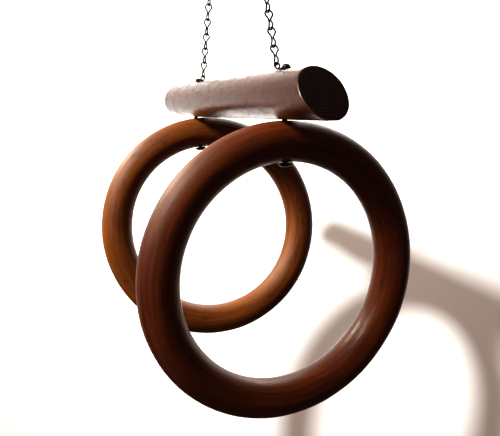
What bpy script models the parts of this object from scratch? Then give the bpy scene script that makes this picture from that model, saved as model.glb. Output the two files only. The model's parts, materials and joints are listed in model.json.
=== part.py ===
"""Twin hanging rings: a wooden bar on two jack chains, with two wooden rings screwed under it.

Metres, +Z up. The origin is where the ceiling hook's collar meets the ceiling.
The bar runs along Y. Chain "a" is on the -Y side and chain "b" on the +Y side.
"""
import bmesh
import bpy
from math import asin, cos, pi, radians, sin, sqrt
from mathutils import Matrix, Vector

# gap left between neighbouring pieces
GAP = 0.0003

# wooden rings
RING_R = 0.102
RING_TUBE_R = 0.0155
RING_A_Y = -0.0972
RING_B_Y = 0.1056
RING_STEPS = 60
RING_SIDES = 14

# how each ring hangs on its screw: turned about the vertical, leaning along the bar, rolled in its plane
RING_A_HANG = (radians(0.8), radians(-1.1), 0.0)
RING_B_HANG = (radians(-5.2), radians(-9.5), radians(-5.1))
RING_B_DROP = 0.0005

# wooden bar, with a flat planed along its underside and one end pared down
BAR_R = 0.0182
BAR_FLAT = 0.0178
BAR_NEAR_Y = -0.1522
BAR_FAR_Y = 0.1780
BAR_NEAR_MITRE = radians(35.0)
BAR_FAR_MITRE = radians(14.0)
BAR_STEP_Y = 0.1430
BAR_PARED_R = 0.0169
BAR_PARED_RISE = 0.0010
BAR_SIDES = 36

# jack chain
WIRE_R = 0.0006
LINK_LEN = 0.0154
EYE_R = 0.0031
WAIST_R = 0.0008
TWIST_FROM = 0.0058
LINKS = 18
CHAIN_Y = 0.084
TOP_Y = 0.002
HOOKED = 2 * WIRE_R + GAP
PITCH = LINK_LEN - HOOKED

# hanging ring and ceiling hook
HANG_R = 0.011
HANG_WIRE_R = 0.0014
HOOK_R = 0.007
HOOK_WIRE_R = 0.0016
HOOK_Z = -0.014
COLLAR_R = 0.008
COLLAR_T = 0.002
THREAD_LEN = 0.020
THREAD_R = 0.0021

# anchor link lying on the bar, one eye flat under the screw and one standing
STAND_EYE_R = 0.0023
STAND_LEN = 0.0050
ANCHOR_RUN = 0.0155
SHOULDER_RUN = 0.0024
SHOULDER_W = 0.0022
WAIST_RUN = 0.0048
FOOT_RUN = 0.0014
HEEL_RUN = 0.0003
HEEL_RISE = 0.0004
NECK_RISES = (0.0012, 0.0020)
NECK_WIDTHS = (0.0012, 0.0019)

# screws
CHAIN_HEAD_R = 0.0031
CHAIN_HEAD_H = 0.0022
CHAIN_SHANK_R = 0.0013
CHAIN_SHANK_LEN = 0.0135
RING_HEAD_R = 0.0055
RING_HEAD_H = 0.0034
RING_SHANK_R = 0.0020
RING_BITE = 0.014
HEAD_SEAT = 0.0005
POINT_LEN = 0.004
THREAD_PITCH = 0.002
THREAD_ROOT = 0.78

# angles of a quarter turn of wire, corners along a link's neck, and how far cutting tools run past a part
QUARTER = (0, 32, 62, 90)
NECK = (0.0050, 0.0064)
BORE_SPARE = 0.005
END_SPARE = 0.03

X = Vector((1, 0, 0))
Y = Vector((0, 1, 0))
Z = Vector((0, 0, 1))
SIDES = (("a", -1), ("b", 1))

# heights worked out from the sizes above
HOOK_LOW_Z = HOOK_Z - HOOK_R
HANG_Z = HOOK_LOW_Z + HOOK_WIRE_R + HANG_WIRE_R + GAP - HANG_R
TOP_Z = HANG_Z - sqrt(HANG_R ** 2 - TOP_Y ** 2)
TOP_LIFT = HANG_WIRE_R + WIRE_R + GAP
CHAIN_RUN = LINKS * PITCH - TOP_LIFT
CHAIN_LEAN = asin((CHAIN_Y - TOP_Y) / CHAIN_RUN)
EYE_Z = TOP_Z - CHAIN_RUN * cos(CHAIN_LEAN)
ANCHOR_Z = EYE_Z - STAND_LEN * cos(CHAIN_LEAN)
BAR_TOP_Z = ANCHOR_Z - WIRE_R - GAP
BAR_Z = BAR_TOP_Z - BAR_R
FLAT_Z = BAR_Z - BAR_FLAT
SCREW_Y = CHAIN_Y + ANCHOR_RUN


def clear_scene():
    for obj in list(bpy.data.objects):
        bpy.data.objects.remove(obj, do_unlink=True)


def collection(name):
    group = bpy.data.collections.new(name)
    bpy.context.scene.collection.children.link(group)
    return group


def material(name, colour, metallic, roughness):
    mat = bpy.data.materials.new(name)
    mat.use_nodes = True
    shader = mat.node_tree.nodes["Principled BSDF"]
    shader.inputs["Base Color"].default_value = (*colour, 1.0)
    shader.inputs["Metallic"].default_value = metallic
    shader.inputs["Roughness"].default_value = roughness
    return mat


def adopt(obj, name, group, mat=None):
    """Name a new object and move it to its collection."""
    obj.name = name
    for old in list(obj.users_collection):
        old.objects.unlink(obj)
    group.objects.link(obj)
    if mat is not None:
        obj.data.materials.append(mat)
    return obj


def empty(name, place, group):
    marker = bpy.data.objects.new(name, None)
    marker.location = place
    marker.empty_display_size = 0.01
    group.objects.link(marker)
    return marker


def parent(obj, marker):
    obj.parent = marker
    obj.matrix_parent_inverse = Matrix.Translation(-marker.location)


def upright(place, up):
    """A frame at a place whose Z is along up."""
    return Matrix.Translation(place) @ Z.rotation_difference(up).to_matrix().to_4x4()


def wire(name, points, radius, closed, group, mat, origin):
    curve = bpy.data.curves.new(name, "CURVE")
    curve.dimensions = "3D"
    curve.bevel_depth = radius
    curve.bevel_resolution = 1
    curve.use_fill_caps = not closed
    spline = curve.splines.new("POLY")
    spline.points.add(len(points) - 1)
    spline.use_cyclic_u = closed
    for point, place in zip(spline.points, points):
        point.co = (*(place - origin), 1.0)
    obj = bpy.data.objects.new(name, curve)
    obj.location = origin
    return adopt(obj, name, group, mat)


def as_mesh(obj, group):
    """Swap a curve object for its mesh, with the caps welded on."""
    bpy.context.view_layer.update()
    name = obj.name
    place = obj.matrix_world.copy()
    graph = bpy.context.evaluated_depsgraph_get()
    mesh = bpy.data.meshes.new_from_object(obj.evaluated_get(graph))
    bpy.data.objects.remove(obj, do_unlink=True)
    bm = bmesh.new()
    bm.from_mesh(mesh)
    bmesh.ops.remove_doubles(bm, verts=bm.verts, dist=0.00001)
    bm.to_mesh(mesh)
    bm.free()
    new = bpy.data.objects.new(name, mesh)
    new.matrix_world = place
    return adopt(new, name, group)


def turned(name, profile, steps, place, group, mat=None):
    """A turned solid: (radius, height) points from the top of the axis, down the outside, to its foot."""
    mesh = bpy.data.meshes.new(name)
    points = [(r, 0, h) for r, h in profile]
    mesh.from_pydata(points, [(i, i + 1) for i in range(len(points) - 1)], [])
    obj = bpy.data.objects.new(name, mesh)
    obj.matrix_world = place
    mod = obj.modifiers.new("turn", "SCREW")
    mod.steps = steps
    mod.render_steps = steps
    mod.use_merge_vertices = True
    mod.merge_threshold = 0.00001
    return adopt(obj, name, group, mat)


def torus(name, place, major, minor, steps, sides, group, mat):
    bpy.ops.mesh.primitive_torus_add(
        major_radius=major, minor_radius=minor, major_segments=steps, minor_segments=sides
    )
    obj = bpy.context.object
    obj.matrix_world = place
    obj.data.shade_smooth()
    return adopt(obj, name, group, mat)


def rod(name, place, radius, length, sides, group, mat=None):
    """A cylinder whose foot is at the frame's origin and which runs up its Z."""
    bpy.ops.mesh.primitive_cylinder_add(vertices=sides, radius=radius, depth=length)
    obj = bpy.context.object
    obj.matrix_world = place @ Matrix.Translation((0, 0, length / 2))
    return adopt(obj, name, group, mat)


def block(name, place, size, group):
    """A cube whose bottom face is centred on the frame's origin."""
    bpy.ops.mesh.primitive_cube_add(size=size)
    obj = bpy.context.object
    obj.matrix_world = place @ Matrix.Translation((0, 0, size / 2))
    return adopt(obj, name, group)


def combine(obj, tool, operation="DIFFERENCE"):
    mod = obj.modifiers.new(tool.name, "BOOLEAN")
    mod.operation = operation
    mod.solver = "EXACT"
    mod.object = tool
    tool.hide_render = True
    tool.display_type = "WIRE"


def chain_down(side):
    return Vector((0, side * sin(CHAIN_LEAN), -cos(CHAIN_LEAN)))


def half_width(t):
    """Half the distance between a link's two strands, at height t in the link."""
    t = min(t, LINK_LEN - t)
    if t < EYE_R:
        return sqrt(EYE_R ** 2 - (EYE_R - t) ** 2)
    share = (t - EYE_R) / (LINK_LEN / 2 - EYE_R)
    return WAIST_R + (EYE_R - WAIST_R) * (1 + cos(pi * share)) / 2


def link_heights():
    """Distances down a link at which its wire has a corner."""
    low = [EYE_R * (1 - cos(radians(a))) for a in QUARTER] + list(NECK)
    return low + [LINK_LEN / 2] + [LINK_LEN - t for t in reversed(low)]


def link_path(start, down, flat, cross):
    """One wire loop: its upper eye lies along flat, its lower eye along cross."""
    there = []
    back = []
    for t in link_heights():
        share = min(max((t - TWIST_FROM) / (LINK_LEN - 2 * TWIST_FROM), 0.0), 1.0)
        turn = pi / 2 * share * share * (3 - 2 * share)
        side = half_width(t) * (cos(turn) * flat + sin(turn) * cross)
        there.append(start + t * down + side)
        back.append(start + t * down - side)
    return there + back[-2:0:-1]


def build_chain(letter, side, group, mat):
    down = chain_down(side)
    cross = down.cross(X)
    pivot = Vector((0, side * TOP_Y, TOP_Z))
    start = pivot - TOP_LIFT * down
    for number in range(1, LINKS + 1):
        path = link_path(start, down, X, cross)
        wire(f"link_{letter}_{number:02d}", path, WIRE_R, True, group, mat, pivot)
        pivot = start + LINK_LEN * down
        start = start + PITCH * down


def anchor_axis(side):
    """Middle line and half widths of the anchor link, from its flat eye to its standing eye."""
    down = chain_down(side)
    top = Vector((0, side * CHAIN_Y, EYE_Z))
    foot = top + STAND_LEN * down
    screw = Vector((0, side * SCREW_Y, ANCHOR_Z))
    quarter = [radians(a) for a in QUARTER]
    axis = [screw + side * EYE_R * cos(a) * Y for a in quarter]
    width = [EYE_R * sin(a) for a in quarter]
    axis += [screw - side * run * Y for run in (SHOULDER_RUN, WAIST_RUN)]
    width += [SHOULDER_W, WAIST_R]
    axis += [foot + side * FOOT_RUN * Y, foot + side * HEEL_RUN * Y - HEEL_RISE * down]
    width += [WAIST_R, WAIST_R]
    axis += [foot - rise * down for rise in NECK_RISES]
    width += NECK_WIDTHS
    axis += [top + STAND_EYE_R * (1 - sin(a)) * down for a in quarter]
    width += [STAND_EYE_R * cos(a) for a in quarter]
    return axis, width


def build_anchor(letter, side, group, mat):
    axis, width = anchor_axis(side)
    there = [p + w * X for p, w in zip(axis, width)]
    back = [p - w * X for p, w in zip(axis, width)]
    path = there + back[-2:0:-1]
    origin = Vector((0, side * SCREW_Y, ANCHOR_Z))
    return wire(f"anchor_link_{letter}", path, WIRE_R, True, group, mat, origin)


def build_chain_screw(letter, side, group, mat):
    """A dome head over the anchor link's flat eye, and a pointed shank down into the bar."""
    seat = 2 * (WIRE_R + GAP)
    profile = [(0, seat + CHAIN_HEAD_H)]
    for angle in (68, 46, 22, 0):
        a = radians(angle)
        profile.append((CHAIN_HEAD_R * cos(a), seat + CHAIN_HEAD_H * sin(a)))
    profile += [(CHAIN_SHANK_R, seat), (CHAIN_SHANK_R, POINT_LEN - CHAIN_SHANK_LEN)]
    profile.append((0, -CHAIN_SHANK_LEN))
    place = Matrix.Translation((0, side * SCREW_Y, BAR_TOP_Z))
    return turned(f"chain_screw_{letter}", profile, 16, place, group, mat)


def ring_frame(y, hang, drop):
    """Where a wooden ring's screw enters it from above, with Z up along the screw and Y the ring's axis."""
    swivel, lean, roll = hang
    turn = Matrix.Rotation(swivel, 4, "Z") @ Matrix.Rotation(lean, 4, "X")
    turn = turn @ Matrix.Rotation(roll, 4, "Y")
    tube = Vector((0, y, FLAT_Z - GAP - drop - RING_TUBE_R))
    return Matrix.Translation(tube) @ turn @ Matrix.Translation((0, 0, RING_TUBE_R))


def build_wooden_ring(letter, frame, group, tools, mat):
    """A round-section ring with a bore for its screw through the top of the tube."""
    place = frame @ Matrix.Translation((0, 0, -RING_R - RING_TUBE_R)) @ Matrix.Rotation(pi / 2, 4, "X")
    name = f"wooden_ring_{letter}"
    ring = torus(name, place, RING_R, RING_TUBE_R, RING_STEPS, RING_SIDES, group, mat)
    depth = 2 * RING_TUBE_R + BORE_SPARE
    foot = frame @ Matrix.Translation((0, 0, -depth))
    combine(ring, rod(f"cut_ring_{letter}", foot, RING_SHANK_R + GAP, depth + BORE_SPARE, 16, tools))


def build_ring_screw(letter, frame, group, mat):
    """A round head under the ring's tube, and a pointed shank up through it into the bar."""
    under = -2 * RING_TUBE_R - HEAD_SEAT
    profile = [(0, RING_BITE), (RING_SHANK_R, RING_BITE - POINT_LEN), (RING_SHANK_R, under)]
    profile += [(RING_HEAD_R, under), (RING_HEAD_R, under - 0.2 * RING_HEAD_H)]
    for angle in (66, 44, 22):
        a = radians(angle)
        profile.append((RING_HEAD_R * sin(a), under - RING_HEAD_H * (0.2 + 0.8 * cos(a))))
    profile.append((0, under - RING_HEAD_H))
    return turned(f"ring_screw_{letter}", profile, 18, frame, group, mat)


def build_bar(group, tools, mat):
    """A round bar, pared down at its far end, with both ends mitred, a planed underside and four bores."""
    along = upright(Vector((0, BAR_NEAR_Y - END_SPARE, BAR_Z)), Y)
    bar = rod("bar", along, BAR_R, BAR_STEP_Y - BAR_NEAR_Y + END_SPARE, BAR_SIDES, group, mat)
    start = upright(Vector((0, BAR_STEP_Y - BORE_SPARE, BAR_Z + BAR_PARED_RISE)), Y)
    pared_len = BAR_FAR_Y - BAR_STEP_Y + END_SPARE
    combine(bar, rod("join_pared_end", start, BAR_PARED_R, pared_len, BAR_SIDES, tools), "UNION")
    lean = BAR_NEAR_MITRE
    near = upright(Vector((0, BAR_NEAR_Y, BAR_Z)), Vector((0, -cos(lean), sin(lean))))
    combine(bar, block("cut_near_mitre", near, 0.1, tools))
    lean = BAR_FAR_MITRE
    far = upright(Vector((0, BAR_FAR_Y, BAR_Z)), Vector((0, cos(lean), sin(lean))))
    combine(bar, block("cut_far_mitre", far, 0.1, tools))
    flat = upright(Vector((0, 0, FLAT_Z)), -Z)
    combine(bar, block("cut_flat", flat, 0.5, tools))
    for letter, side in SIDES:
        foot = Matrix.Translation((0, side * SCREW_Y, BAR_TOP_Z - CHAIN_SHANK_LEN - GAP))
        depth = CHAIN_SHANK_LEN + BORE_SPARE
        combine(bar, rod(f"cut_chain_{letter}", foot, CHAIN_SHANK_R + GAP, depth, 16, tools))
    for letter, frame in RING_FRAMES:
        foot = frame @ Matrix.Translation((0, 0, -BORE_SPARE))
        depth = BORE_SPARE + RING_BITE + GAP
        combine(bar, rod(f"cut_bar_{letter}", foot, RING_SHANK_R + GAP, depth, 16, tools))
    return bar


def build_hanging_ring(group, mat):
    place = Matrix.Translation((0, 0, HANG_Z)) @ Matrix.Rotation(pi / 2, 4, "Y")
    ring = torus("hanging_ring", place, HANG_R, HANG_WIRE_R, 28, 8, group, mat)
    parent(ring, empty("hanging_ring_axis", Vector((0, 0, HOOK_LOW_Z)), group))


def hook_profile():
    """A threaded point above the ceiling line and a collar below it."""
    root = THREAD_R * THREAD_ROOT
    profile = [(0, THREAD_LEN), (root, THREAD_LEN - POINT_LEN)]
    ridge = THREAD_LEN - POINT_LEN - THREAD_PITCH
    while ridge > THREAD_PITCH:
        profile += [(THREAD_R, ridge), (root, ridge - THREAD_PITCH / 2)]
        ridge -= THREAD_PITCH
    profile += [(root, 0), (COLLAR_R, 0), (COLLAR_R, -COLLAR_T / 2)]
    profile += [(COLLAR_R * 0.86, -COLLAR_T), (0, -COLLAR_T)]
    return profile


def build_hook(group, tools, mat):
    centre = Vector((0, 0, HOOK_Z))
    path = [Vector((0, 0, -COLLAR_T / 2)), Vector((0, 0, -0.0046)), Vector((-0.0004, 0, -0.0062))]
    for angle in range(106, 406, 15):
        a = radians(angle)
        path.append(centre + HOOK_R * (cos(a) * X + sin(a) * Z))
    bend = wire("join_hook_wire", path, HOOK_WIRE_R, False, tools, None, Vector((0, 0, 0)))
    hook = turned("ceiling_hook", hook_profile(), 16, Matrix.Identity(4), group, mat)
    combine(hook, as_mesh(bend, tools), "UNION")


RING_FRAMES = (
    ("a", ring_frame(RING_A_Y, RING_A_HANG, 0.0)),
    ("b", ring_frame(RING_B_Y, RING_B_HANG, RING_B_DROP)),
)


def main():
    clear_scene()
    group = collection("hanging_twin_rings")
    tools = collection("cutters")
    ring_wood = material("ring_wood", (0.16, 0.045, 0.014), 0.0, 0.35)
    bar_wood = material("bar_wood", (0.13, 0.04, 0.018), 0.0, 0.3)
    chain_steel = material("chain_steel", (0.09, 0.088, 0.085), 1.0, 0.42)
    screw_steel = material("screw_steel", (0.05, 0.048, 0.046), 1.0, 0.45)
    build_hook(group, tools, screw_steel)
    build_hanging_ring(group, chain_steel)
    rock_axis = empty("bar_rock_axis", Vector((0, 0, EYE_Z - HOOKED * cos(CHAIN_LEAN))), group)
    parent(build_bar(group, tools, bar_wood), rock_axis)
    for letter, side in SIDES:
        build_chain(letter, side, group, chain_steel)
        parent(build_anchor(letter, side, group, chain_steel), rock_axis)
        parent(build_chain_screw(letter, side, group, screw_steel), rock_axis)
    for letter, frame in RING_FRAMES:
        build_wooden_ring(letter, frame, group, tools, ring_wood)
        parent(build_ring_screw(letter, frame, group, screw_steel), rock_axis)


main()
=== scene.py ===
"""Looks for the hanging twin rings: varnished wood, blackened jack chain and a pale room."""

import json
from math import asin, cos, pi, radians, sin, sqrt, tan

import bmesh
import bpy
import numpy as np
from mathutils import Matrix, Vector, noise


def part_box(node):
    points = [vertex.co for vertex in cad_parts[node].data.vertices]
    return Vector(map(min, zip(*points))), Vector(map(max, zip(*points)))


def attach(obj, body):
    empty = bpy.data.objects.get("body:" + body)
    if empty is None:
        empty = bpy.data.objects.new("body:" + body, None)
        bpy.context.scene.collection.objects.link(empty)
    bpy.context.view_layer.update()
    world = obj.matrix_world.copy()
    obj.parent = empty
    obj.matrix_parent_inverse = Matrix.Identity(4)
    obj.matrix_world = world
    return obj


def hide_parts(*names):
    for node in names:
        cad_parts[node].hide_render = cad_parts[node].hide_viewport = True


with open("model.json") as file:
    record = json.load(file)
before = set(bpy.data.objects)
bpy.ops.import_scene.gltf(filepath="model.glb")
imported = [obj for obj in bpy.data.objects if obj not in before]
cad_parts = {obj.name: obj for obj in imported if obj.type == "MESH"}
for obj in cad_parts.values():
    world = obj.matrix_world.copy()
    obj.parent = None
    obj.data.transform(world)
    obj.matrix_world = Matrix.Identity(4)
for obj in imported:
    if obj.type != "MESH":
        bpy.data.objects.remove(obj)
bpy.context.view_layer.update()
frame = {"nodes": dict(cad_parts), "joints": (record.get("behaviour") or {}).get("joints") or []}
JOINTS = {joint["name"]: joint for joint in frame["joints"]}

X = Vector((1, 0, 0))
Y = Vector((0, 1, 0))
Z = Vector((0, 0, 1))
SIDES = (("a", -1), ("b", 1))

# wooden rings and their screws
RING_R = 0.102
TUBE_R = 0.0155
RING_LOOPS = 220
TUBE_SIDES = 48
RING_BORE_R = 0.0024
RING_HEAD_R = 0.0055
RING_HEAD_H = 0.0034
HEAD_SEAT = 0.0005
RING_SHANK_R = 0.0020
RING_BITE = 0.014
RING_SLOT = (0.02, 0.0011, 0.0026)
RING_SLOT_TURN = radians(35)
SANDING = 0.00022
GRAIN_SHIFT = 0.37

# wooden bar
BAR_R = 0.0182
BAR_FLAT = 0.0178
BAR_NEAR_Y = -0.1522
BAR_FAR_Y = 0.1780
NEAR_MITRE = radians(35.0)
FAR_MITRE = radians(14.0)
STEP_Y = 0.1430
PARED_R = 0.0169
PARED_RISE = 0.0010
BAR_SIDES = 120
END_ROUND = 0.0014
BAR_SPACING = 0.003
END_LOOPS = 14
MITRE_REACH = 0.03
STEP_CLEAR = 0.002
STEP_LOOPS = ((-0.0012, 0), (-0.0004, 0), (0, 0), (0.0003, 0.0004), (0.0005, 0), (0.0012, 0))

# jack chain, anchor links and their screws
WIRE_R = 0.0006
SHOWN_WIRE_R = 0.00074
LINK_LEN = 0.0154
EYE_R = 0.0031
WAIST_R = 0.0008
TWIST_FROM = 0.0058
LINKS = 18
CHAIN_Y = 0.084
TOP_Y = 0.002
HOOKED = 0.0015
PITCH = LINK_LEN - HOOKED
TOP_LIFT = 0.0023
STAND_EYE_R = 0.0023
STAND_LEN = 0.0050
ANCHOR_RUN = 0.0155
CHAIN_HEAD_R = 0.0031
CHAIN_HEAD_H = 0.0022
CHAIN_SHANK_R = 0.0013
CHAIN_SHANK_LEN = 0.0135
CHAIN_SEAT = 0.0018
CHAIN_SLOT = (0.01, 0.0008, 0.0018)
CHAIN_SLOT_TURN = radians(25)
WIRE_SIDES = 12
WIRE_RIPPLE = 0.08

# hanging ring and ceiling hook
HANG_R = 0.011
HANG_WIRE_R = 0.0014
HANG_LOOPS = 72
SAWN_LOOP = 9
HOOK_R = 0.007
HOOK_WIRE_R = 0.0016
HOOK_Z = -0.014
COLLAR_R = 0.008
COLLAR_T = 0.002
THREAD_LEN = 0.020
THREAD_R = 0.0021
THREAD_PITCH = 0.002
POINT_LEN = 0.004

# heights read from the frame's own joints and boxes
TOP_Z = JOINTS["links_01_swing"]["pos_m"][2]
HANG_Z = sum(corner.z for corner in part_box("hanging_ring")) / 2
CHAIN_RUN = LINKS * PITCH - TOP_LIFT
CHAIN_LEAN = asin((CHAIN_Y - TOP_Y) / CHAIN_RUN)
EYE_Z = TOP_Z - CHAIN_RUN * cos(CHAIN_LEAN)
BAR_TOP_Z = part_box("bar")[1].z
BAR_Z = BAR_TOP_Z - BAR_R
ANCHOR_Z = BAR_TOP_Z + WIRE_R + 0.0003
SCREW_Y = CHAIN_Y + ANCHOR_RUN


# ---------------------------------------------------------------- mesh tools

def skin(name, loops, closed=False, grain=None):
    """A smooth mesh through loops of points, capped by a fan at each end unless it closes on itself."""
    bm = bmesh.new()
    layer = bm.loops.layers.float_vector.new("grain") if grain else None
    rows = [[bm.verts.new(p) for p in loop] for loop in loops]
    sides = len(loops[0])
    for i in range(len(rows) if closed else len(rows) - 1):
        nxt = rows[(i + 1) % len(rows)]
        for k in range(sides):
            m = (k + 1) % sides
            face = bm.faces.new((rows[i][k], rows[i][m], nxt[m], nxt[k]))
            if layer:
                corners = ((i, k), (i, k + 1), (i + 1, k + 1), (i + 1, k))
                for corner, at in zip(face.loops, corners):
                    corner[layer] = grain(*at)
    if not closed:
        for row in (rows[0], rows[-1]):
            middle = bm.verts.new(sum((v.co for v in row), Vector()) / sides)
            for k in range(sides):
                bm.faces.new((row[k], row[(k + 1) % sides], middle))
    bmesh.ops.recalc_face_normals(bm, faces=bm.faces)
    mesh = bpy.data.meshes.new(name)
    bm.to_mesh(mesh)
    bm.free()
    mesh.shade_smooth()
    obj = bpy.data.objects.new(name, mesh)
    bpy.context.scene.collection.objects.link(obj)
    return obj


def tube_loops(points, radius, closed, sides=14, ripple=0.0):
    """Round loops along a path, turned as little as possible from one to the next."""
    count = len(points)
    loops = []
    side = None
    for i, point in enumerate(points):
        before = points[i - 1] if closed or i else point
        after = points[(i + 1) % count] if closed or i < count - 1 else point
        along = (after - before).normalized()
        if side is None:
            side = along.orthogonal()
        side = (side - side.dot(along) * along).normalized()
        up = along.cross(side)
        size = radius[i] if isinstance(radius, list) else radius
        size *= 1 + ripple * noise.noise(point * 900)
        loops.append([point + size * (cos(a) * side + sin(a) * up) for a in turn_angles(sides)])
    return loops


def turn_angles(count):
    return [2 * pi * k / count for k in range(count)]


def lathe_loops(profile, place, sides=40):
    """Loops of a turned shape from (radius, height) points."""
    return [
        [place @ Vector((r * cos(a), r * sin(a), h)) for a in turn_angles(sides)]
        for r, h in profile
    ]


def join(name, objs):
    """One object from several."""
    bm = bmesh.new()
    for obj in objs:
        bm.from_mesh(obj.data)
        bpy.data.objects.remove(obj, do_unlink=True)
    mesh = bpy.data.meshes.new(name)
    bm.to_mesh(mesh)
    bm.free()
    mesh.shade_smooth()
    obj = bpy.data.objects.new(name, mesh)
    bpy.context.scene.collection.objects.link(obj)
    return obj


def cut(obj, tool):
    """Take a tool's volume out of an object, for good."""
    mod = obj.modifiers.new("cut", "BOOLEAN")
    mod.operation = "DIFFERENCE"
    mod.solver = "EXACT"
    mod.object = tool
    bpy.context.view_layer.update()
    done = bpy.data.meshes.new_from_object(obj.evaluated_get(bpy.context.evaluated_depsgraph_get()))
    obj.modifiers.clear()
    obj.data = done
    bpy.data.objects.remove(tool, do_unlink=True)


def box_tool(place, size):
    bm = bmesh.new()
    bmesh.ops.create_cube(bm, size=1.0)
    bm.transform(place @ Matrix.Diagonal((*size, 1.0)))
    mesh = bpy.data.meshes.new("slot_tool")
    bm.to_mesh(mesh)
    bm.free()
    obj = bpy.data.objects.new("slot_tool", mesh)
    bpy.context.scene.collection.objects.link(obj)
    return obj


def finish_piece(obj, body, node, mat):
    obj.data.materials.append(mat)
    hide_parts(node)
    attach(obj, body)


# ---------------------------------------------------------------- materials

class Nodes:
    """A short way to write a node tree."""

    def __init__(self, name):
        self.mat = bpy.data.materials.new(name)
        self.mat.use_nodes = True
        self.tree = self.mat.node_tree
        self.shader = self.tree.nodes["Principled BSDF"]

    def add(self, kind, inputs=None, **settings):
        node = self.tree.nodes.new(kind)
        for key, value in settings.items():
            setattr(node, key, value)
        for key, value in (inputs or {}).items():
            self.feed(node.inputs[key], value)
        return node

    def feed(self, socket, value):
        if isinstance(value, bpy.types.NodeSocket):
            self.tree.links.new(value, socket)
        else:
            socket.default_value = value

    def stretched(self, source, scale):
        return self.add("ShaderNodeMapping", {"Vector": source, "Scale": scale}).outputs[0]

    def noise(self, vector, scale, detail=4.0, roughness=0.55, distortion=0.0):
        values = {"Vector": vector, "Scale": scale, "Detail": detail}
        values |= {"Roughness": roughness, "Distortion": distortion}
        return self.add("ShaderNodeTexNoise", values).outputs["Fac"]

    def ramp(self, fac, stops):
        node = self.add("ShaderNodeValToRGB", {"Fac": fac})
        ramp = node.color_ramp
        while len(ramp.elements) < len(stops):
            ramp.elements.new(0.5)
        for element, (position, colour) in zip(ramp.elements, stops):
            element.position = position
            rgb = colour if isinstance(colour, tuple) else (colour,) * 3
            element.color = (*rgb, 1.0)
        return node.outputs["Color"]

    def mix(self, fac, a, b):
        node = self.add("ShaderNodeMix", data_type="RGBA")
        self.feed(node.inputs[0], fac)
        self.feed(node.inputs[6], a)
        self.feed(node.inputs[7], b)
        return node.outputs[2]

    def fit(self, value, low, high):
        values = {"Value": value, "To Min": low, "To Max": high}
        return self.add("ShaderNodeMapRange", values).outputs[0]

    def bump(self, height, distance, strength, normal=None):
        values = {"Height": height, "Distance": distance, "Strength": strength}
        if normal is not None:
            values["Normal"] = normal
        return self.add("ShaderNodeBump", values).outputs[0]

    def shade(self, **values):
        for key, value in values.items():
            self.feed(self.shader.inputs[key.replace("_", " ")], value)
        return self.mat


def along_ring(n):
    """Metres across the ring's tube, outward first, and then along it."""
    return n.add("ShaderNodeAttribute", attribute_name="grain").outputs["Vector"]


def along_bar(n):
    """Metres across the bar, and then along it."""
    turned = n.add("ShaderNodeMapping", {"Rotation": (radians(90), 0, 0)})
    n.feed(turned.inputs["Vector"], n.add("ShaderNodeTexCoord").outputs["Object"])
    return turned.outputs[0]


def varnished(n, place, dark, light, fleck, rough, coat, coat_rough, wrinkle):
    """Stained wood under varnish. The third number of place and of each scale is along the grain."""
    broad = n.noise(n.stretched(place, (60, 60, 9)), 1.0, 3.0)
    bands = n.noise(n.stretched(place, (420, 420, 14)), 1.0, 5.0, 0.6, 0.3)
    fibres = n.noise(n.stretched(place, (2600, 2600, 60)), 1.0, 3.0)
    specks = n.noise(n.stretched(place, (700, 700, 260)), 1.0, 2.0)
    colour = n.ramp(n.mix(0.45, broad, bands), [(0.34, dark), (0.66, light)])
    pore = (*[c * 0.35 for c in dark], 1.0)
    colour = n.mix(n.ramp(fibres, [(0.30, 0.34), (0.62, 0.0)]), colour, pore)
    colour = n.mix(n.ramp(specks, [(0.66, 0.0), (0.74, fleck)]), colour, (0.012, 0.003, 0.001, 1.0))
    grime = n.noise(n.stretched(place, (75, 75, 32)), 1.0, 6.0, 0.7)
    colour = n.mix(n.ramp(grime, [(0.56, 0.0), (0.72, fleck)]), colour, (0.020, 0.005, 0.002, 1.0))
    rubs = n.noise(n.stretched(place, (520, 520, 190)), 1.0, 2.0)
    rubbed = (*[min(1.0, c * 1.9) for c in light], 1.0)
    colour = n.mix(n.ramp(rubs, [(0.72, 0.0), (0.80, 0.5 * fleck)]), colour, rubbed)
    height = n.mix(0.35, bands, fibres)
    skin_wave = n.noise(n.stretched(place, (150, 150, 90)), 1.0, 2.0)
    normal = n.bump(skin_wave, 0.0006, 0.25, n.bump(height, 0.00012, 0.35))
    wrinkles = n.noise(n.stretched(place, (300, 300, 110)), 1.0, 5.0, 0.65)
    coat_normal = n.bump(wrinkles, 0.0010, wrinkle)
    n.shade(Base_Color=colour, Roughness=n.fit(bands, rough, rough + 0.18), Normal=normal)
    return n.shade(Coat_Weight=coat, Coat_Roughness=coat_rough, Coat_Normal=coat_normal)


def ring_wood(name, dark, light, fleck):
    """Rubbed dull outside and still glossy inside. GRAIN_SHIFT leaves ring b on the dull side all round."""
    n = Nodes(name)
    place = along_ring(n)
    outward = n.add("ShaderNodeSeparateXYZ", {"Vector": place}).outputs["X"]
    values = {"Value": outward, "From Min": -TUBE_R, "From Max": 0.2 * TUBE_R}
    values |= {"To Min": 0.10, "To Max": 0.46}
    dull = n.add("ShaderNodeMapRange", values).outputs[0]
    n.shade(Specular_IOR_Level=0.3)
    return varnished(n, place, dark, light, fleck, 0.50, 0.46, dull, 0.55)


def bar_wood(name, dark, light, fleck):
    """Full varnish, with dull blotches where hands and dust have been."""
    n = Nodes(name)
    place = along_bar(n)
    smears = n.noise(n.stretched(place, (95, 95, 55)), 1.0, 6.0, 0.72)
    blotches = n.fit(n.ramp(smears, [(0.38, 0.0), (0.62, 1.0)]), 0.09, 0.36)
    return varnished(n, place, dark, light, fleck, 0.36, 1.0, blotches, 0.28)


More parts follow.
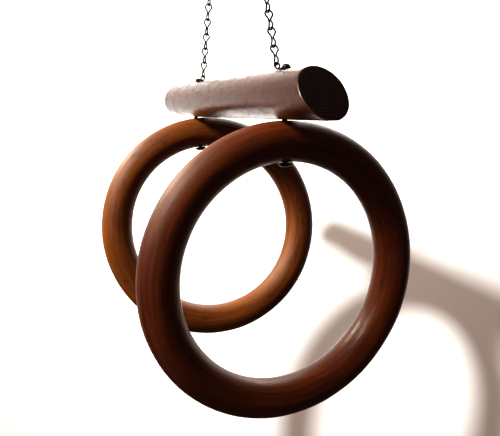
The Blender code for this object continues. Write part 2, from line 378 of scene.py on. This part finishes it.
def end_grain(name):
    """Dark sawn end of the bar, torn by the saw, with faint year rings and pores."""
    n = Nodes(name)
    place = n.add("ShaderNodeTexCoord").outputs["Object"]
    values = {"Vector": place, "Location": (0.004, 0, -BAR_Z - 0.006), "Scale": (1, 0, 1)}
    centred = n.add("ShaderNodeMapping", values).outputs[0]
    values = {"Vector": centred, "Scale": 150.0, "Distortion": 3.0, "Detail": 3.0}
    years = n.add("ShaderNodeTexWave", values)
    years.wave_type = "RINGS"
    years.rings_direction = "Y"
    pores = n.noise(place, 1300.0, 3.0)
    tears = n.noise(n.stretched(place, (240, 240, 620)), 1.0, 5.0, 0.7)
    stops = [(0.36, (0.004, 0.0008, 0.0006)), (0.62, (0.016, 0.005, 0.003))]
    stops.append((0.85, (0.040, 0.014, 0.009)))
    colour = n.ramp(n.mix(0.75, years.outputs["Fac"], n.mix(0.6, pores, tears)), stops)
    fine = n.bump(n.mix(0.4, pores, years.outputs["Fac"]), 0.0005, 0.5)
    normal = n.bump(tears, 0.0012, 0.7, fine)
    n.shade(Base_Color=colour, Roughness=n.fit(pores, 0.55, 0.85), Normal=normal)
    return n.shade(Specular_IOR_Level=0.2)


def blackened(name, tone, worn, rough):
    """Steel with an old black finish, rubbed brighter in places and browned in others."""
    n = Nodes(name)
    place = n.add("ShaderNodeTexCoord").outputs["Object"]
    patches = n.noise(place, 420.0, 5.0)
    grit = n.noise(place, 3000.0, 3.0)
    brown = (tone * 1.1, tone * 0.85, tone * 0.7)
    colour = n.ramp(patches, [(0.38, brown), (0.52, (tone,) * 3), (0.72, (worn,) * 3)])
    dull = n.fit(grit, rough - 0.08, rough + 0.14)
    normal = n.bump(n.mix(0.5, patches, grit), 0.00015, 0.5)
    return n.shade(Base_Color=colour, Metallic=1.0, Roughness=dull, Normal=normal)


# ---------------------------------------------------------------- wooden rings and screws

def ring_place(letter):
    """Where the ring's screw enters it from above: Z up the screw and Y the ring's own axis."""
    joint = JOINTS[f"ring_{letter}_swivel"]
    up = Vector(joint["axis"]).normalized()
    points = np.array([v.co for v in frame["nodes"][f"wooden_ring_{letter}"].data.vertices])
    flat = np.linalg.svd(points - points.mean(0), full_matrices=False)[2][2]
    across = Vector(flat) * (1 if flat[1] > 0 else -1)
    across = (across - across.dot(up) * up).normalized()
    turn = Matrix((across.cross(up), across, up)).transposed().to_4x4()
    return Matrix.Translation(joint["pos_m"]) @ turn


def make_wooden_ring(letter, mat):
    """A turned ring, a little uneven from hand sanding, with the bore for its screw."""
    middle = ring_place(letter) @ Matrix.Translation((0, 0, -RING_R - TUBE_R))
    loops = []
    for i in range(RING_LOOPS):
        around = 2 * pi * i / RING_LOOPS
        out = Vector((sin(around), 0, cos(around)))
        loop = []
        for a in turn_angles(TUBE_SIDES):
            spot = RING_R * out + TUBE_R * (cos(a) * out + sin(a) * Y)
            wobble = SANDING * noise.noise(spot * 28 + Vector((letter == "a", 0, 0)))
            size = TUBE_R + wobble - 0.0001
            loop.append(middle @ (RING_R * out + size * (cos(a) * out + sin(a) * Y)))
        loops.append(loop)
    shift = GRAIN_SHIFT * (letter == "b")

    def grain(i, k):
        a = 2 * pi * k / TUBE_SIDES
        return Vector((TUBE_R * cos(a) + shift, TUBE_R * sin(a), 2 * pi * RING_R * i / RING_LOOPS))

    ring = skin(f"turned_ring_{letter}", loops, True, grain)
    bore = [(RING_BORE_R, 0.01), (RING_BORE_R, -0.05)]
    cut(ring, skin("bore_tool", lathe_loops(bore, ring_place(letter), 24)))
    finish_piece(ring, f"wooden_ring_{letter}", f"wooden_ring_{letter}", mat)


def make_ring_screw(letter, mat):
    """A slotted round head under the ring's tube and a shank up into the bar."""
    place = ring_place(letter)
    under = -2 * TUBE_R - HEAD_SEAT
    profile = [(0.0006, RING_BITE), (RING_SHANK_R, RING_BITE - POINT_LEN), (RING_SHANK_R, under)]
    profile += [(RING_HEAD_R - 0.0003, under), (RING_HEAD_R, under - 0.0002)]
    for angle in range(85, 0, -8):
        a = radians(angle)
        profile.append((RING_HEAD_R * sin(a), under - RING_HEAD_H * (0.15 + 0.85 * cos(a))))
    screw = skin(f"round_screw_{letter}", lathe_loops(profile, place))
    slot = place @ Matrix.Rotation(RING_SLOT_TURN, 4, "Z")
    slot = slot @ Matrix.Translation((0, 0, under - RING_HEAD_H))
    cut(screw, box_tool(slot, RING_SLOT))
    finish_piece(screw, "bar", f"ring_screw_{letter}", mat)


def make_chain_screw(letter, side, mat):
    """A slotted dome head over the anchor link's flat eye."""
    place = Matrix.Translation((0, side * SCREW_Y, BAR_TOP_Z))
    profile = [(0.0004, CHAIN_SEAT + CHAIN_HEAD_H)]
    for angle in range(80, -1, -8):
        a = radians(angle)
        profile.append((CHAIN_HEAD_R * cos(a), CHAIN_SEAT + CHAIN_HEAD_H * sin(a)))
    profile += [(CHAIN_SHANK_R, CHAIN_SEAT - 0.0001), (CHAIN_SHANK_R, POINT_LEN - CHAIN_SHANK_LEN)]
    profile.append((0.0002, -CHAIN_SHANK_LEN))
    screw = skin(f"dome_screw_{letter}", lathe_loops(profile, place))
    slot = place @ Matrix.Rotation(side * CHAIN_SLOT_TURN, 4, "Z")
    slot = slot @ Matrix.Translation((0, 0, CHAIN_SEAT + CHAIN_HEAD_H))
    cut(screw, box_tool(slot, CHAIN_SLOT))
    finish_piece(screw, "bar", f"chain_screw_{letter}", mat)


# ---------------------------------------------------------------- bar

def bar_section(y, inset):
    """Outline of the bar at y, drawn in by inset: (x, z) points, round with a flat underside."""
    share = min(max((y - STEP_Y) / 0.0005, 0.0), 1.0)
    radius = BAR_R + (PARED_R - BAR_R) * share - inset
    rise = PARED_RISE * share
    outline = []
    for a in turn_angles(BAR_SIDES):
        x = radius * sin(a)
        z = rise + radius * cos(a)
        outline.append((x, max(z, inset - BAR_FLAT)))
    return outline


def bar_loop(y, inset, lean, end):
    """One loop of the bar. End is the share of the mitre it takes, 1 at the end face."""
    loop = []
    for x, z in bar_section(y, inset):
        here = Vector((x, y + end * tan(lean) * z, BAR_Z + z))
        tool_marks = noise.noise(Vector((x * 60, here.y * 14, z * 60)))
        here += Vector((x, 0, z)).normalized() * (0.00016 * tool_marks - 0.0001)
        loop.append(here)
    return loop


def make_bar(mat, end_mat):
    """Mitred near end, straight middle, and a pared far end past a fine step."""
    loops = []
    face = [(0.0, inset) for inset in (0.0160, 0.0120, 0.0080, 0.0045)]
    corner = []
    for angle in (0, 22, 45, 67, 90):
        a = radians(angle)
        corner.append((END_ROUND * (1 - cos(a)), END_ROUND * (1 - sin(a))))
    for depth, inset in face + corner:
        loops.append(bar_loop(BAR_NEAR_Y + depth, inset, NEAR_MITRE, 1.0))
    stations = [0.001 + 0.0022 * k for k in range(END_LOOPS)]
    for depth in stations:
        share = 1 - depth / MITRE_REACH
        loops.append(bar_loop(BAR_NEAR_Y + END_ROUND + depth, 0.0, NEAR_MITRE, max(share, 0.0)))
    y = BAR_NEAR_Y + END_ROUND + stations[-1] + BAR_SPACING
    while y < STEP_Y - STEP_CLEAR:
        loops.append(bar_loop(y, 0.0, 0.0, 0.0))
        y += BAR_SPACING
    for past, groove in STEP_LOOPS:
        loops.append(bar_loop(STEP_Y + past, groove, 0.0, 0.0))
    run = BAR_FAR_Y - END_ROUND - STEP_Y - STEP_CLEAR
    for k in range(END_LOOPS):
        share = k / (END_LOOPS - 1)
        loops.append(bar_loop(STEP_Y + STEP_CLEAR + run * share, 0.0, -FAR_MITRE, share))
    for depth, inset in reversed(face + corner[:-1]):
        loops.append(bar_loop(BAR_FAR_Y - depth, inset, -FAR_MITRE, 1.0))
    bar = skin("turned_bar", loops)
    bar.data.materials.append(mat)
    bar.data.materials.append(end_mat)
    near_way = Vector((0, -cos(NEAR_MITRE), sin(NEAR_MITRE)))
    far_way = Vector((0, cos(FAR_MITRE), sin(FAR_MITRE)))
    for polygon in bar.data.polygons:
        at_near = polygon.normal.dot(near_way) > 0.9
        at_far = polygon.normal.dot(far_way) > 0.9 and polygon.center.y > STEP_Y + 0.017
        if at_near or at_far:
            polygon.material_index = 1
    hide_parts("bar")
    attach(bar, "bar")


# ---------------------------------------------------------------- chain

def wire_loops(points):
    return tube_loops(points, SHOWN_WIRE_R, True, WIRE_SIDES, WIRE_RIPPLE)


def chain_down(side):
    """The way this chain runs from the hanging ring to the bar."""
    return Vector((0, side * sin(CHAIN_LEAN), -cos(CHAIN_LEAN)))


def half_width(t):
    """Half the distance between a link's two strands, at height t in the link."""
    t = min(t, LINK_LEN - t)
    if t < EYE_R:
        return sqrt(EYE_R ** 2 - (EYE_R - t) ** 2)
    share = (t - EYE_R) / (LINK_LEN / 2 - EYE_R)
    return WAIST_R + (EYE_R - WAIST_R) * (1 + cos(pi * share)) / 2


def link_points(start, down, flat, cross):
    """The wire of one link: its upper eye lies along flat and its lower eye along cross."""
    low = [EYE_R * (1 - cos(radians(a))) for a in range(0, 91, 15)]
    low += [EYE_R + (LINK_LEN / 2 - EYE_R) * k / 8 for k in range(1, 8)]
    heights = low + [LINK_LEN / 2] + [LINK_LEN - t for t in reversed(low)]
    there = []
    back = []
    for t in heights:
        share = min(max((t - TWIST_FROM) / (LINK_LEN - 2 * TWIST_FROM), 0.0), 1.0)
        turn = pi / 2 * share * share * (3 - 2 * share)
        side = half_width(t) * (cos(turn) * flat + sin(turn) * cross)
        there.append(start + t * down + side)
        back.append(start + t * down - side)
    return there + back[-2:0:-1]


def make_chain(letter, side, mat):
    down = chain_down(side)
    start = Vector((0, side * TOP_Y, TOP_Z)) - TOP_LIFT * down
    for number in range(1, LINKS + 1):
        points = link_points(start, down, X, down.cross(X))
        link = skin(f"chain_link_{letter}_{number:02d}", wire_loops(points), True)
        finish_piece(link, f"links_{number:02d}", f"link_{letter}_{number:02d}", mat)
        start = start + PITCH * down


def anchor_points(side):
    """The link lying on the bar, from its flat eye under the screw to its standing eye."""
    down = chain_down(side)
    top = Vector((0, side * CHAIN_Y, EYE_Z))
    foot = top + STAND_LEN * down
    screw = Vector((0, side * SCREW_Y, ANCHOR_Z))
    quarter = [radians(a) for a in (0, 15, 30, 45, 60, 75, 90)]
    axis = [screw + side * EYE_R * cos(a) * Y for a in quarter]
    width = [EYE_R * sin(a) for a in quarter]
    axis += [screw - side * run * Y for run in (0.0012, 0.0024, 0.0036, 0.0048)]
    width += [0.0028, 0.0022, 0.0013, WAIST_R]
    axis += [foot + side * 0.0040 * Y, foot + side * 0.0014 * Y]
    axis.append(foot + side * 0.0003 * Y - 0.0004 * down)
    width += [WAIST_R, WAIST_R, WAIST_R]
    axis += [foot - 0.0012 * down, foot - 0.0020 * down]
    width += [0.0012, 0.0019]
    axis += [top + STAND_EYE_R * (1 - sin(a)) * down for a in quarter]
    width += [STAND_EYE_R * cos(a) for a in quarter]
    there = [p + w * X for p, w in zip(axis, width)]
    back = [p - w * X for p, w in zip(axis, width)]
    return there + back[-2:0:-1]


def make_anchor(letter, side, mat):
    """The chain's last link, bent flat under its screw."""
    wire = skin(f"bent_anchor_{letter}", wire_loops(anchor_points(side)), True)
    finish_piece(wire, "bar", f"anchor_link_{letter}", mat)


# ---------------------------------------------------------------- hook and hanging ring

def make_hanging_ring(mat):
    """A wire ring bent round until its two sawn ends meet."""
    points = []
    size = []
    for k in range(HANG_LOOPS):
        a = 2 * pi * (k + 0.5) / HANG_LOOPS
        points.append(Vector((0, HANG_R * sin(a), HANG_Z + HANG_R * cos(a))))
        size.append(HANG_WIRE_R * (0.9 if k == SAWN_LOOP else 1.0))
    ring = skin("wire_hanging_ring", tube_loops(points, size, True, 18), True)
    finish_piece(ring, "hanging_ring", "hanging_ring", mat)


def thread_loops():
    """The pointed thread as loops whose radius climbs with the turn."""
    loops = []
    height = THREAD_LEN - 0.0002
    while height > 0:
        taper = min((THREAD_LEN - height) / POINT_LEN, 1.0)
        loop = []
        for a in turn_angles(32):
            climb = (height / THREAD_PITCH - a / (2 * pi)) % 1.0
            ridge = max(0.0, 1 - abs(climb - 0.5) * 4)
            radius = THREAD_R * (0.76 + 0.24 * ridge) * (0.12 + 0.88 * taper)
            loop.append(Vector((radius * cos(a), radius * sin(a), height)))
        loops.append(loop)
        height -= THREAD_PITCH / 8
    return loops


def make_hook(mat):
    """Thread, collar and open bend, in one piece."""
    thread = skin("thread", thread_loops())
    collar = [(0.0016, 0.0), (COLLAR_R - 0.0002, 0.0), (COLLAR_R, -0.0002), (COLLAR_R, -COLLAR_T * 0.4)]
    collar += [(COLLAR_R * 0.96, -COLLAR_T * 0.75), (COLLAR_R * 0.84, -COLLAR_T)]
    collar.append((0.0024, -COLLAR_T * 1.1))
    plate = skin("collar", lathe_loops(collar, Matrix.Identity(4), 48))
    points = [Vector((0, 0, z)) for z in (-COLLAR_T / 2, -0.0036, -0.0046)]
    points.append(Vector((-0.0002, 0, -0.0054)))
    for angle in range(104, 397, 6):
        a = radians(angle)
        points.append(Vector((HOOK_R * cos(a), 0, HOOK_Z + HOOK_R * sin(a))))
    size = [HOOK_WIRE_R] * (len(points) - 3)
    size += [HOOK_WIRE_R * share for share in (0.96, 0.82, 0.5)]
    bend = skin("bend", tube_loops(points, size, False, 20))
    hook = join("screw_hook", [thread, plate, bend])
    finish_piece(hook, "hook", "ceiling_hook", mat)


# ---------------------------------------------------------------- room, light and camera

VIEW_AZIMUTH = radians(-23.61)
VIEW_DROP = radians(11.43)
VIEW_ROLL = radians(-0.8)
LENS = 39.3
AHEAD = Vector((-sin(VIEW_AZIMUTH), cos(VIEW_AZIMUTH), 0))
RIGHT = Vector((cos(VIEW_AZIMUTH), sin(VIEW_AZIMUTH), 0))
RING_A_MIDDLE = ring_place("a") @ Vector((0, 0, -RING_R - TUBE_R))
FLOOR_Z = -1.75
FLOOR_REACH = 6.0
WALL_AWAY = 1.35
WALL_REACH = 2.6
WALL_H = 3.6
CAMERA_OFFSET = Vector((0.276, -0.422, -4.169)) * RING_R
LIT_POINT = Vector((0, 0, -0.36))


def make_camera():
    """A camera at the height and angle the rings were seen from, standing off from the near ring."""
    forward = AHEAD * cos(VIEW_DROP) - Z * sin(VIEW_DROP)
    up = Z * cos(VIEW_DROP) + AHEAD * sin(VIEW_DROP)
    turn = Matrix((RIGHT, up, -forward)).transposed() @ Matrix.Rotation(VIEW_ROLL, 3, "Z")
    data = bpy.data.cameras.new("camera")
    data.sensor_width = 36.0
    data.lens = LENS
    data.clip_start = 0.02
    camera = bpy.data.objects.new("camera", data)
    place = turn.to_4x4()
    place.translation = RING_A_MIDDLE - turn @ CAMERA_OFFSET
    camera.matrix_world = place
    bpy.context.scene.collection.objects.link(camera)
    bpy.context.scene.camera = camera


def plaster(name, colour, glow, glow_colour):
    """Matt pale plaster with a little light of its own, so that it stays pale from every side."""
    n = Nodes(name)
    place = n.add("ShaderNodeTexCoord").outputs["Object"]
    tint = n.ramp(n.noise(place, 3.0), [(0.3, tuple(c * 0.97 for c in colour)), (0.7, colour)])
    normal = n.bump(n.noise(place, 160.0), 0.001, 0.1)
    n.shade(Base_Color=tint, Roughness=0.9, Normal=normal)
    return n.shade(Emission_Color=(*glow_colour, 1.0), Emission_Strength=glow)


def stage_sheet(name, corners, mat):
    bm = bmesh.new()
    bm.faces.new([bm.verts.new(corner) for corner in corners])
    bmesh.ops.subdivide_edges(bm, edges=bm.edges, cuts=8, use_grid_fill=True)
    mesh = bpy.data.meshes.new(name)
    bm.to_mesh(mesh)
    bm.free()
    sheet = bpy.data.objects.new(name, mesh)
    sheet.data.materials.append(mat)
    sheet.visible_diffuse = False
    bpy.context.scene.collection.objects.link(sheet)
    return sheet


def make_room():
    """A pale floor, and a pale wall behind the rings. Neither throws its light back on them."""
    corners = ((-1, -1), (1, -1), (1, 1), (-1, 1))
    flat = [Vector((x * FLOOR_REACH, y * FLOOR_REACH, FLOOR_Z)) for x, y in corners]
    pale = (0.86, 0.83, 0.80)
    floor = stage_sheet("floor", flat, plaster("pale_floor", pale, 0.75, pale))
    floor.visible_glossy = False
    left = WALL_AWAY * AHEAD + FLOOR_Z * Z - WALL_REACH * RIGHT
    right = WALL_AWAY * AHEAD + FLOOR_Z * Z + WALL_REACH * RIGHT
    upright = [left, right, right + WALL_H * Z, left + WALL_H * Z]
    plaster_wall = plaster("pale_wall", (0.86, 0.82, 0.79), 0.12, (0.90, 0.62, 0.50))
    return stage_sheet("wall", upright, plaster_wall)


def area_light(name, direction, distance, size, power, colour):
    """A round lamp, this far from the lit point and facing it."""
    data = bpy.data.lights.new(name, "AREA")
    data.shape = "DISK"
    data.size = size
    data.energy = power
    data.color = colour
    lamp = bpy.data.objects.new(name, data)
    lamp.location = LIT_POINT + direction.normalized() * distance
    lamp.rotation_mode = "QUATERNION"
    lamp.rotation_quaternion = direction.to_track_quat("Z", "Y")
    lamp.visible_camera = False
    bpy.context.scene.collection.objects.link(lamp)
    return lamp


def only_on(lamp, objs):
    """Let a light reach nothing but these objects."""
    group = bpy.data.collections.new(f"{lamp.name}_group")
    for obj in objs:
        group.objects.link(obj)
    lamp.light_linking.receiver_collection = group


def make_light(wall):
    """Window light from the left, a glint on the rings, and a lamp for the wall and its shadows."""
    way = -0.52 * AHEAD - 0.84 * RIGHT + 0.86 * Z
    area_light("window", way, 1.5, 0.42, 26, (1.0, 0.88, 0.76))
    way = 0.42 * AHEAD - 0.74 * RIGHT + 0.50 * Z
    side = area_light("side_window", way, 1.2, 0.28, 13, (1.0, 0.86, 0.68))
    only_on(side, [bpy.data.objects["turned_ring_a"], bpy.data.objects["turned_ring_b"]])
    way = 0.85 * AHEAD + 0.30 * RIGHT + 0.55 * Z
    area_light("back_fill", way, 1.2, 0.9, 7, (1.0, 0.95, 0.90))
    way = -0.288 * AHEAD - 0.205 * RIGHT + 0.228 * Z
    wash = area_light("wall_wash", way, 0.42, 0.035, 78, (1.0, 0.99, 0.98))
    only_on(wash, [wall])
    world = bpy.data.worlds.new("room_light")
    world.use_nodes = True
    tree = world.node_tree
    back = tree.nodes["Background"]
    path = tree.nodes.new("ShaderNodeLightPath")
    tone = tree.nodes.new("ShaderNodeMix")
    tone.data_type = "RGBA"
    tone.inputs[6].default_value = (0.062, 0.044, 0.036, 1.0)
    tone.inputs[7].default_value = (1.0, 1.0, 1.0, 1.0)
    tree.links.new(path.outputs["Is Camera Ray"], tone.inputs[0])
    tree.links.new(tone.outputs[2], back.inputs["Color"])
    bpy.context.scene.world = world
    bpy.context.scene.view_settings.view_transform = "Standard"
    bpy.context.scene.view_settings.look = "Medium High Contrast"


def build():
    ring_a_wood = ring_wood("dark_mahogany", (0.054, 0.0050, 0.0003), (0.240, 0.050, 0.0020), 0.65)
    ring_b_wood = ring_wood("amber_mahogany", (0.105, 0.018, 0.0012), (0.39, 0.120, 0.0070), 0.95)
    varnish = bar_wood("bar_varnish", (0.055, 0.009, 0.003), (0.16, 0.038, 0.010), 0.8)
    chain_steel = blackened("black_wire", 0.026, 0.085, 0.45)
    screw_steel = blackened("black_screw", 0.045, 0.16, 0.42)
    make_wooden_ring("a", ring_a_wood)
    make_wooden_ring("b", ring_b_wood)
    make_bar(varnish, end_grain("bar_end_grain"))
    for letter, side in SIDES:
        make_ring_screw(letter, screw_steel)
        make_chain_screw(letter, side, screw_steel)
        make_anchor(letter, side, chain_steel)
        make_chain(letter, side, chain_steel)
    make_hanging_ring(chain_steel)
    make_hook(screw_steel)
    make_camera()
    make_light(make_room())


build()
